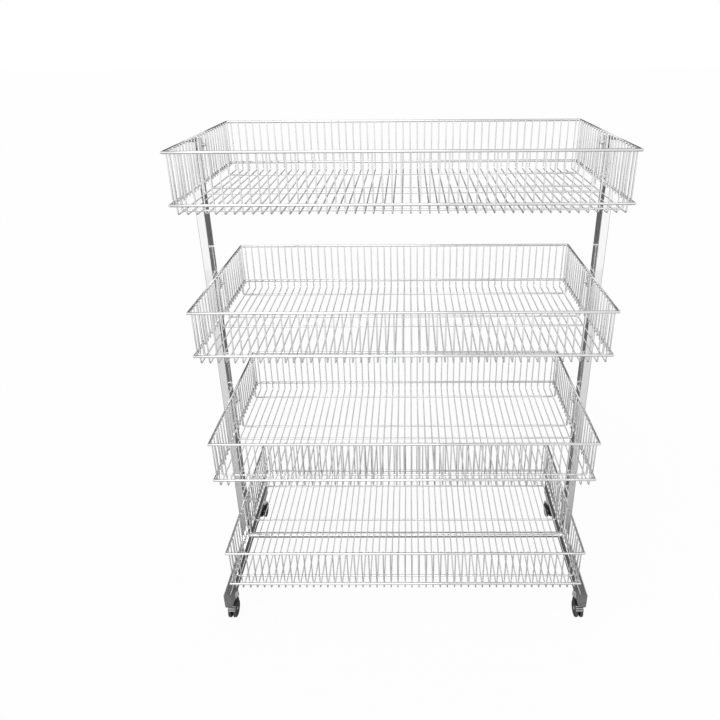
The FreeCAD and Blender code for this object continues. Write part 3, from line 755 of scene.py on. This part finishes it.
def add_thread(vertices, faces, start, end, centre, side):
    """A threaded stretch along X. Start and end are distances from the middle of the stand."""
    first = len(vertices)
    turn_rows = len(thread_profile)
    rows = int((end - start) / thread_pitch + 2) * turn_rows + 1
    for column in range(thread_columns):
        share = column / thread_columns
        arm = around_x(full_turn * share)
        for row in range(rows):
            along = start + (row / turn_rows + share - 1) * thread_pitch
            depth = thread_profile[row % turn_rows] * thread_depth
            if not start + thread_run_in < along < end - thread_run_out:
                depth = thread_depth
            along = min(max(along, start), end)
            x = Vector((side * along, 0, 0))
            vertices.append(centre + x + arm * (bolt_radius - depth))
    for column in range(thread_columns):
        following = (column + 1) % thread_columns
        shift = turn_rows if following == 0 else 0
        for row in range(rows - 1 - shift):
            here = first + column * rows + row
            there = first + following * rows + row + shift
            faces.append((here, here + 1, there + 1, there))


# %% [markdown]
# The thread lies round a plain core, so its open ends never show. Heads, shanks, tips and nuts are
# turned shapes. The rings of the socket are six-sided, and so are the flats of a nut, while the
# rings next to them are round: that gives the corners of a nut their chamfer.

# %% Shape of a bolt
outer_face_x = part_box("right_upright")[1].x
core_radius = bolt_radius - thread_depth
tip_length = 0.4 * mm
tip_radius = 1.8 * mm
button_head = [
    (1.1, 0.2, "round"), (1.1, 1.9, "hexagon"), (2.85, 2.0, "hexagon"), (3.0, 2.5, "round"),
    (3.0, 3.4, "round"), (2.6, 4.7, "round"), (1.8, 5.6, "round"), (0.8, 6.0, "round"),
    (0.0, 6.0, "round"), (0.0, 3.0, "round"),
]


def add_side_bolts(name, node, heights, shank_end_x, tip_x):
    """Bolts through the left and right tubes at each height, with their heads outside."""
    vertices, faces = [], []
    for height in heights:
        centre = Vector((0, 0, height))
        for side in sides.values():
            rings = [
                (outer_face_x + along * mm, size * mm, shape) for along, size, shape in button_head
            ]
            rings += [(shank_end_x, bolt_radius, "round"), (shank_end_x, core_radius, "round")]
            rings += [(tip_x + tip_length, core_radius, "round"), (tip_x, tip_radius, "round")]
            add_turned(vertices, faces, rings, centre, side)
            add_thread(vertices, faces, tip_x + tip_length, shank_end_x, centre, side)
    bolts = add_piece(name, mesh_from(name, vertices, faces), "frame", "zinc_steel", [node])
    smooth_by_angle(bolts)


# %% [markdown]
# The basket bolts reach from outside the uprights into the baskets, and the rail bolts from
# outside the rails into the cross tube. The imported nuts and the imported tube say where.

# %% Basket bolts and rail bolts
pivot_heights = [rim - pivot_drop for rim in rims.values()]
nut_outer_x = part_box("pivot_nuts")[1].x
basket_tip_x = nut_outer_x - 9.5 * mm
add_side_bolts("basket_bolts", "pivot_bolts", pivot_heights, nut_outer_x, basket_tip_x)
cross_tube_low, cross_tube_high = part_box("base_cross_tube")
cross_tube_z = (cross_tube_low.z + cross_tube_high.z) / 2
rail_shank_x = cross_tube_high.x - 2 * mm
rail_tip_x = cross_tube_high.x - 22 * mm
add_side_bolts("rail_bolts", "cross_tube_bolts", [cross_tube_z], rail_shank_x, rail_tip_x)
print("bolts at", [round(z, 3) for z in pivot_heights], "and", round(cross_tube_z, 3))

# %% [markdown]
# A nut is turned as a closed ring: along its bore, over one face, along its flats, and back over
# the other face.

# %% Basket nuts
nut_rings = [
    (0, 3.05, "round"), (0, 4.6, "round"), (0.6, 5.0, "hexagon"), (4.4, 5.0, "hexagon"),
    (5.0, 4.6, "round"), (5.0, 3.05, "round"),
]
vertices, faces = [], []
for height in pivot_heights:
    for side in sides.values():
        rings = [
            (nut_outer_x - along * mm, size * mm, shape) for along, size, shape in nut_rings
        ]
        add_turned(vertices, faces, rings, Vector((0, 0, height)), side, closed=True)
mesh = mesh_from("basket_nuts", vertices, faces)
nuts = add_piece("basket_nuts", mesh, "frame", "zinc_steel", ["pivot_nuts"])
smooth_by_angle(nuts)
print("nuts:", len(sides) * len(pivot_heights))

# %% [markdown]
# ## Castor wheels
#
# Each castor has two moulded wheels on one axle. A wheel has a rounded tread with a fine groove on
# each side, and a dished outer face with a step round the hub. The wheel is turned from rings, so
# its groove and steps are real shapes.

# %% Castor wheels
wheel_rings = [
    (0.0, 3.1), (0.0, 8.0), (0.5, 8.6), (0.5, 18.4), (0.0, 19.2), (0.0, 20.9), (0.3, 21.8),
    (1.0, 22.4), (1.8, 22.5), (2.05, 22.25), (2.3, 22.5), (5.9, 22.5), (6.15, 22.25), (6.4, 22.45),
    (7.1, 22.1), (7.7, 21.3), (8.0, 20.2), (8.0, 17.6), (7.8, 17.1), (6.8, 16.2), (6.5, 15.6),
    (6.5, 9.6), (6.9, 9.1), (6.9, 6.6), (6.5, 6.1), (6.5, 3.1),
]
wheel_side_gap = 2.9 * mm


def node_centre(node):
    """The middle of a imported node's box."""
    low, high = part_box(node)
    return (low + high) / 2


for castor in castors:
    axle = node_centre(f"{castor}_axle")
    for wheel_name, direction in sides.items():
        node = f"{castor}_{wheel_name}_wheel"
        rings = [
            (wheel_side_gap + along * mm, size * mm, "round") for along, size in wheel_rings
        ]
        vertices, faces = [], []
        add_turned(vertices, faces, rings, axle, direction, closed=True)
        name = f"{castor}_{wheel_name}_wheel_turned"
        wheel = add_piece(name, mesh_from(name, vertices, faces), node, "wheel_plastic", [node])
        smooth_by_angle(wheel)
print("wheels:", 2 * len(castors))

# %% [markdown]
# ## Castor hoods
#
# A short moulded hood covers the top of both wheels. Its section, with rounded shoulders, is swept
# round the axle from one lip to the other. Three low ribs run across it near each lip.

# %% Section and sweep of a hood
hood_lip = 12 * mm
hood_radius = 25 * mm
hood_section = [
    (-10.9, 23.3), (-10.9, 24.0), (-10.6, 24.5), (-9.8, 24.85), (-5.0, 25.0), (5.0, 25.0),
    (9.8, 24.85), (10.6, 24.5), (10.9, 24.0), (10.9, 23.3),
]
hood_steps = 96


def add_hood(vertices, faces, axle):
    """The section of a hood at many angles about the axle, from lip to lip."""
    first = len(vertices)
    lip_angle = math.asin(hood_lip / hood_radius)
    for step in range(hood_steps + 1):
        angle = lip_angle + (math.pi - 2 * lip_angle) * step / hood_steps
        for across, radius in hood_section:
            arm = around_x(angle) * radius * mm
            vertices.append(axle + arm + Vector((across * mm, 0, 0)))
    join_rings(faces, first, len(hood_section), hood_steps + 1)


# %% [markdown]
# A rib is a low ridge with a rounded back. It fades out at both ends, where the hood's shoulders
# turn down.

# %% Ribs of a hood
rib_angles = [34, 46, 58, 122, 134, 146]
rib_half_angle = math.radians(2.6)
rib_height = 0.9 * mm
rib_root = 0.6 * mm
rib_steps = 8
rib_stations = [(-10.5, 24.5, 0.2), (-9.7, 24.85, 1), (9.7, 24.85, 1), (10.5, 24.5, 0.2)]


def add_rib(vertices, faces, axle, middle):
    """One rib across a hood, at an angle about the axle."""
    first = len(vertices)
    turns = [2 * step / rib_steps - 1 for step in range(rib_steps + 1)]
    for across, radius, share in rib_stations:
        back = [(turn, radius * mm + rib_height * share * (1 - turn * turn)) for turn in turns]
        root = [(1, radius * mm - rib_root), (-1, radius * mm - rib_root)]
        for turn, reach in back + root:
            angle = middle + rib_half_angle * turn
            arm = around_x(angle) * reach
            vertices.append(axle + arm + Vector((across * mm, 0, 0)))
    join_rings(faces, first, len(turns) + len(root), len(rib_stations))


# %% [markdown]
# A round boss rises from the hood to the stem. Its foot follows the curve of the hood. Under the
# hood, a web comes down between the wheels and ends in an eye that holds the axle.

# %% Boss and web of a housing
castor_trail = 11 * mm
boss_rings = [(11.2, 59.7), (11.8, 59.3), (12.0, 58.5), (12.0, 52.5), (12.3, 50.0)]
boss_foot_radius = 12.6 * mm
boss_sink = 1 * mm
web_half = 2.5 * mm
web_radius = 24 * mm
web_start, web_turn = 30, 120
web_steps = 16
eye_radius = 9 * mm


def add_boss(vertices, faces, axle, end):
    """Rings from the top of the boss down to a last one that lies on the hood."""
    first = len(vertices)
    stem = Vector((axle.x, axle.y - end * castor_trail, 0))
    for size, height in boss_rings:
        for step in range(turn_steps):
            angle = full_turn * step / turn_steps
            across = Vector((math.cos(angle), math.sin(angle), 0)) * size * mm
            vertices.append(stem + across + Vector((0, 0, height * mm)))
    for step in range(turn_steps):
        angle = full_turn * step / turn_steps
        across = Vector((math.cos(angle), math.sin(angle), 0)) * boss_foot_radius
        point = stem + across
        square = (hood_radius - boss_sink) ** 2 - (point.y - axle.y) ** 2
        point.z = axle.z + math.sqrt(max(square, hood_lip**2))
        vertices.append(point)
    join_rings(faces, first, turn_steps, len(boss_rings) + 1)


def add_web(vertices, faces, axle):
    """A plate between the wheels: an arc under the hood at the top, and an eye at the bottom."""
    outline = []
    for step in range(web_steps + 1):
        angle = math.radians(web_start + web_turn * step / web_steps)
        outline.append((math.cos(angle) * web_radius, math.sin(angle) * web_radius))
    for step in range(web_steps + 1):
        angle = math.pi * (1 + step / web_steps)
        outline.append((math.cos(angle) * eye_radius, math.sin(angle) * eye_radius))
    first = len(vertices)
    for across in (-web_half, web_half):
        for along, up in outline:
            vertices.append(axle + Vector((across, along, up)))
    join_rings(faces, first, len(outline), rings=2)


# %% [markdown]
# Hood, boss and web are one moulding, so they share a mesh. The ribs are a piece of their own,
# because they carry a paler paint, a painted highlight for the glints on them.

# %% Put the castors together
axle_edge = 0.3 * mm
# The ribs' pale paint is a painted highlight, standing for their glints.
rib_glint_paint = finishes["rubbed_plastic"]
for castor, end in castors.items():
    axle = node_centre(f"{castor}_axle")
    vertices, faces = [], []
    add_hood(vertices, faces, axle)
    add_boss(vertices, faces, axle, end)
    add_web(vertices, faces, axle)
    name = f"{castor}_hood"
    housing = f"{castor}_housing"
    hood = add_piece(name, mesh_from(name, vertices, faces), castor, "castor_plastic", [housing])
    smooth_by_angle(hood)
    vertices, faces = [], []
    for angle in rib_angles:
        add_rib(vertices, faces, axle, math.radians(angle))
    name = f"{castor}_ribs"
    ribs = add_piece(name, mesh_from(name, vertices, faces), castor, "castor_plastic", (), rib_glint_paint)
    smooth_by_angle(ribs)
    ease_edges(frame["nodes"][f"{castor}_axle"], axle_edge)
print("castor hoods:", len(castors))

# %% [markdown]
# ## The stage
#
# The stand was photographed in front of plain white. The floor here is a large pale plane. Rays
# from the camera, and from metal that mirrors the floor, see it mostly as even white, with a share
# of its real shading left in, so the stand still has a faint soft shadow. All other light meets
# plain matt paint.

# %% Helpers for the stage
def seen_by_eye(tree):
    """1 for rays from the camera, a mirror or glass, and 0 for all other light."""
    paths = tree.nodes.new("ShaderNodeLightPath")
    total = paths.outputs["Is Camera Ray"]
    for ray in ("Is Glossy Ray", "Is Transmission Ray"):
        either = tree.nodes.new("ShaderNodeMath")
        either.operation = "MAXIMUM"
        tree.links.new(total, either.inputs[0])
        tree.links.new(paths.outputs[ray], either.inputs[1])
        total = either.outputs[0]
    return total


def stage_plane(name, corners, material):
    """One flat face of the stage, which is no part of the stand."""
    mesh = bpy.data.meshes.new(name)
    mesh.from_pydata(corners, [], [(0, 1, 2, 3)])
    mesh.materials.append(material)
    plane = bpy.data.objects.new(name, mesh)
    bpy.context.scene.collection.objects.link(plane)
    return plane


# %% [markdown]
# The floor mixes matt paint with an even white glow. The white takes its share only where the eye
# or a mirror looks.

# %% Floor
floor_half = 30
floor_grey = 0.86
white_share = 0.95
floor_finish = bpy.data.materials.new("studio_floor")
floor_finish.use_nodes = True
tree = floor_finish.node_tree
tree.nodes.clear()
output = tree.nodes.new("ShaderNodeOutputMaterial")
matt = tree.nodes.new("ShaderNodeBsdfDiffuse")
matt.inputs["Color"].default_value = (floor_grey, floor_grey, floor_grey, 1)
glow = tree.nodes.new("ShaderNodeEmission")
glow.inputs["Strength"].default_value = 1
share = tree.nodes.new("ShaderNodeMath")
share.operation = "MULTIPLY"
share.inputs[1].default_value = white_share
mixed = tree.nodes.new("ShaderNodeMixShader")
tree.links.new(seen_by_eye(tree), share.inputs[0])
tree.links.new(share.outputs[0], mixed.inputs["Fac"])
tree.links.new(matt.outputs[0], mixed.inputs[1])
tree.links.new(glow.outputs[0], mixed.inputs[2])
tree.links.new(mixed.outputs[0], output.inputs["Surface"])
floor_corners = [
    (-floor_half, -floor_half, 0), (floor_half, -floor_half, 0),
    (floor_half, floor_half, 0), (-floor_half, floor_half, 0),
]
stage_plane("studio_floor", floor_corners, floor_finish)
print("floor:", 2 * floor_half, "m wide, even white by a share of", white_share)

# %% [markdown]
# The world does two jobs, so it has two backgrounds. To the camera and to mirrors it is plain
# white. To all other rays it is the soft light of a large white studio, at a quieter strength.

# %% World
world = bpy.data.worlds.new("studio")
bpy.context.scene.world = world
world.use_nodes = True
tree = world.node_tree
tree.nodes.clear()
output = tree.nodes.new("ShaderNodeOutputWorld")
light = tree.nodes.new("ShaderNodeBackground")
light.inputs["Color"].default_value = (1, 1, 1, 1)
light.inputs["Strength"].default_value = 0.6
backdrop = tree.nodes.new("ShaderNodeBackground")
backdrop.inputs["Color"].default_value = (1, 1, 1, 1)
backdrop.inputs["Strength"].default_value = 1
choose = tree.nodes.new("ShaderNodeMixShader")
tree.links.new(seen_by_eye(tree), choose.inputs["Fac"])
tree.links.new(light.outputs[0], choose.inputs[1])
tree.links.new(backdrop.outputs[0], choose.inputs[2])
tree.links.new(choose.outputs[0], output.inputs["Surface"])
print("world light:", round(light.inputs["Strength"].default_value, 2))

# %% [markdown]
# ## Dark cards
#
# Chrome in an all-white room looks like white paint, because it has nothing dark to mirror. A
# product photographer stands dark cards outside the picture to draw dark edges on it. Only
# mirrors see the cards here: they throw no shadow and take no light away.
#
# A card that ends sharply leaves a hard line across a flat tube. So the paint fades from front to
# back. It is light in front of the stand, and dark under it and behind it. Each pair of the list
# is a depth and the tone that the paint has there.

# %% Paint of the cards, from front to back
fade_front = -2.5
fade_tones = [(-2.5, 0.95), (-0.85, 0.74), (-0.24, 0.48), (-0.1, 0.13)]

card_paint = bpy.data.materials.new("card_paint")
card_paint.use_nodes = True
tree = card_paint.node_tree
card_shader = tree.nodes["Principled BSDF"]
card_shader.inputs["Roughness"].default_value = 0.9
place = tree.nodes.new("ShaderNodeTexCoord")
parts = tree.nodes.new("ShaderNodeSeparateXYZ")
tree.links.new(place.outputs["Object"], parts.inputs[0])

depth = tree.nodes.new("ShaderNodeMapRange")
depth.inputs["From Min"].default_value = fade_front
depth.inputs["From Max"].default_value = 0
tree.links.new(parts.outputs["Y"], depth.inputs["Value"])
tones = tree.nodes.new("ShaderNodeValToRGB")
elements = tones.color_ramp.elements
while len(elements) < len(fade_tones):
    elements.new(0.5)
for element, (y, tone) in zip(elements, fade_tones):
    element.position = 1 - y / fade_front
    element.color = (tone, tone, tone, 1)
tree.links.new(depth.outputs["Result"], tones.inputs["Fac"])
print("card tones:", fade_tones)

# %% [markdown]
# Far out to both sides the paint fades to white as well. The distance from the middle works for
# left and right alike. The mix node has inputs for numbers, vectors and colours, and the ones for
# colours are found by their identifiers.

# %% Paint of the cards, from the middle to the sides
card_half = 12
fade_side = 3.5
paint_white = (0.95, 0.95, 0.95, 1)


def socket_of(sockets, identifier):
    """The one socket with this identifier."""
    return next(socket for socket in sockets if socket.identifier == identifier)


outwards = tree.nodes.new("ShaderNodeMath")
outwards.operation = "ABSOLUTE"
tree.links.new(parts.outputs["X"], outwards.inputs[0])
side_fade = tree.nodes.new("ShaderNodeMapRange")
side_fade.interpolation_type = "SMOOTHSTEP"
side_fade.inputs["From Min"].default_value = fade_side
side_fade.inputs["From Max"].default_value = card_half
tree.links.new(outwards.outputs[0], side_fade.inputs["Value"])
blend = tree.nodes.new("ShaderNodeMix")
blend.data_type = "RGBA"
socket_of(blend.inputs, "B_Color").default_value = paint_white
tree.links.new(side_fade.outputs["Result"], blend.inputs["Factor"])
tree.links.new(tones.outputs["Color"], socket_of(blend.inputs, "A_Color"))
blended = socket_of(blend.outputs, "Result_Color")
tree.links.new(blended, card_shader.inputs["Base Color"])
print("card paint fades to white from", fade_side, "to", card_half, "m out")

# %% [markdown]
# One card lies on the floor under and behind the stand, and one stands at its far end. A white
# gap follows, and then a card that hangs and goes on as a ceiling.

# %% Cards under, behind and over the stand
card_far = 3.2
card_lift = 3 * mm
standing_top = 2.0
hanging_foot = 3.5
ceiling = 6
ceiling_near = 0.5


def card_strip(first_edge, last_edge):
    """A face between two edges that run along X. Each edge is a depth and a height."""
    return [
        (-card_half, *first_edge), (card_half, *first_edge),
        (card_half, *last_edge), (-card_half, *last_edge),
    ]


cards = {
    "lying_card": card_strip((fade_front, card_lift), (card_far, card_lift)),
    "standing_card": card_strip((card_far, card_lift), (card_far, standing_top)),
    "hanging_card": card_strip((card_far, hanging_foot), (card_far, ceiling)),
    "ceiling_card": card_strip((ceiling_near, ceiling), (card_far, ceiling)),
}
for name, corners in cards.items():
    card = stage_plane(name, corners, card_paint)
    card.visible_camera = False
    card.visible_diffuse = False
    card.visible_shadow = False
    card.visible_transmission = False
    card.visible_volume_scatter = False
print("cards:", ", ".join(cards))

# %% [markdown]
# ## The lamp
#
# One wide soft sun stands high, to the front and to the left of the stand. It gives the baskets a
# lighter and a darker side. Its angle is large, so its shadows have no edge.

# %% Lamp
from_front = 32
from_left = 24
key = bpy.data.lights.new("key_light", "SUN")
key.energy = 1.3
key.angle = math.radians(60)
key_light = bpy.data.objects.new("key_light", key)
key_light.rotation_euler = (math.radians(from_front), math.radians(-from_left), 0)
bpy.context.scene.collection.objects.link(key_light)
print("lamp strength:", round(key.energy, 2))

# %% [markdown]
# ## The camera
#
# The camera stands in front of the stand, a little above it, and looks down. Its place, its tilt
# and its focal length were found by matching the corners of the basket rims. The small shift keeps
# the stand where it is in the frame.

# %% Camera
tilt_down = 22.26
pan_left = 0.42
roll_right = 0.4
camera_data = bpy.data.cameras.new("camera")
camera_data.sensor_width = 36
camera_data.lens = 29.77
camera_data.shift_x = -0.0626
camera_data.shift_y = -0.1115
camera = bpy.data.objects.new("camera", camera_data)
camera.location = (0.0142, -1.3804, 1.5029)
look_down = Matrix.Rotation(math.radians(90 - tilt_down), 4, "X")
turn_left = Matrix.Rotation(math.radians(pan_left), 4, "Z")
roll = Matrix.Rotation(math.radians(-roll_right), 4, "Z")
camera.rotation_euler = (turn_left @ look_down @ roll).to_euler()
bpy.context.scene.collection.objects.link(camera)
bpy.context.scene.camera = camera
bpy.context.scene.view_settings.view_transform = "Standard"
print("camera at", [round(value, 3) for value in camera.location])
